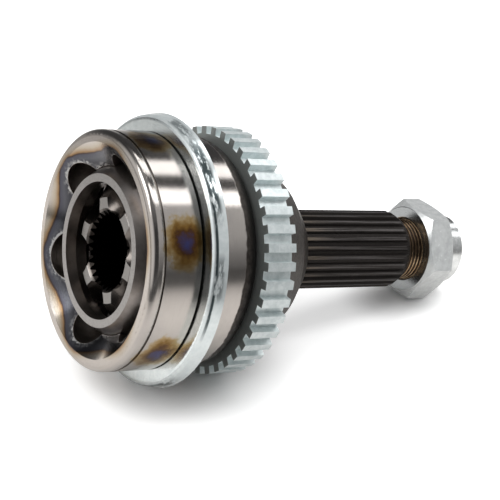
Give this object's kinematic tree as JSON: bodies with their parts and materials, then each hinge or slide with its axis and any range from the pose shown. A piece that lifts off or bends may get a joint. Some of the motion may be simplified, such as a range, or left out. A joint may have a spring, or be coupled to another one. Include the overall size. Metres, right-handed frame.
{
  "type": "constant velocity joint",
  "caption": "Fixed ball-type constant velocity joint: grooved bell with a splined stub, inner race in a cage, dust and speed-sensor rings and an axle nut.",
  "frame": {"origin": "the joint centre, where the bell's, the cage's and the inner race's axes cross", "axes": "+X along the axis from the bell's mouth to the stub, +Z towards a ball track and a flat of the nut"},
  "size_m": [0.1476, 0.0904, 0.0904],
  "materials": {
    "ground_steel": "ground bell with heat tint, dark forged back and toothed stub",
    "race_steel": "hardened, oiled",
    "cage_steel": "hardened, fine ground ends",
    "ball_steel": "polished bearing steel",
    "zinc_sheet": "bright zinc plate",
    "zinc_ring": "satin zinc plate",
    "zinc_nut": "mottled zinc plate"
  },
  "bodies": {
    "outer_race": {"outer_race": "ground_steel", "dust_ring": "zinc_sheet", "tone_ring": "zinc_ring"},
    "inner_race": {"inner_race": "race_steel"},
    "cage": {"cage": "cage_steel"},
    "ball_1": {"ball_1": "ball_steel"},
    "ball_2": {"ball_2": "ball_steel"},
    "ball_3": {"ball_3": "ball_steel"},
    "ball_4": {"ball_4": "ball_steel"},
    "ball_5": {"ball_5": "ball_steel"},
    "ball_6": {"ball_6": "ball_steel"},
    "axle_nut": {"axle_nut": "zinc_nut"}
  },
  "joints": [
    {"name": "articulation", "type": "hinge", "parent": "outer_race", "child": "inner_race", "pos_m": [0, 0, 0], "axis": [0, 1, 0], "range_deg": [-45, 45]},
    {"name": "cage_tilt", "type": "hinge", "parent": "outer_race", "child": "cage", "pos_m": [0, 0, 0], "axis": [0, 1, 0], "range_deg": [-22.5, 22.5]},
    {"name": "ball_1_travel", "type": "hinge", "parent": "outer_race", "child": "ball_1", "pos_m": [-0.0022, 0, 0], "axis": [0, 1, 0], "range_deg": [-22.51, 22.51]},
    {"name": "ball_2_travel", "type": "hinge", "parent": "outer_race", "child": "ball_2", "pos_m": [-0.0022, 0, 0], "axis": [0, 0.5, -0.866], "range_deg": [-11.62, 11.62]},
    {"name": "ball_3_travel", "type": "hinge", "parent": "outer_race", "child": "ball_3", "pos_m": [-0.0022, 0, 0], "axis": [0, 0.5, 0.866], "range_deg": [-11.62, 11.62]},
    {"name": "ball_4_travel", "type": "hinge", "parent": "outer_race", "child": "ball_4", "pos_m": [-0.0022, 0, 0], "axis": [0, 1, 0], "range_deg": [-22.51, 22.51]},
    {"name": "ball_5_travel", "type": "hinge", "parent": "outer_race", "child": "ball_5", "pos_m": [-0.0022, 0, 0], "axis": [0, 0.5, -0.866], "range_deg": [-11.62, 11.62]},
    {"name": "ball_6_travel", "type": "hinge", "parent": "outer_race", "child": "ball_6", "pos_m": [-0.0022, 0, 0], "axis": [0, 0.5, 0.866], "range_deg": [-11.62, 11.62]},
    {"name": "nut_travel", "type": "slide", "parent": "outer_race", "child": "axle_nut", "axis": [1, 0, 0], "range_m": [-0.005, 0.0185]}
  ],
  "couplings": [
    {"joint": "cage_tilt", "follows": "articulation", "ratio": 0.5},
    {"joint": "ball_1_travel", "follows": "articulation", "ratio": 0.5},
    {"joint": "ball_2_travel", "follows": "articulation", "ratio": 0.2581},
    {"joint": "ball_3_travel", "follows": "articulation", "ratio": 0.2581},
    {"joint": "ball_4_travel", "follows": "articulation", "ratio": 0.5},
    {"joint": "ball_5_travel", "follows": "articulation", "ratio": 0.2581},
    {"joint": "ball_6_travel", "follows": "articulation", "ratio": 0.2581}
  ]
}
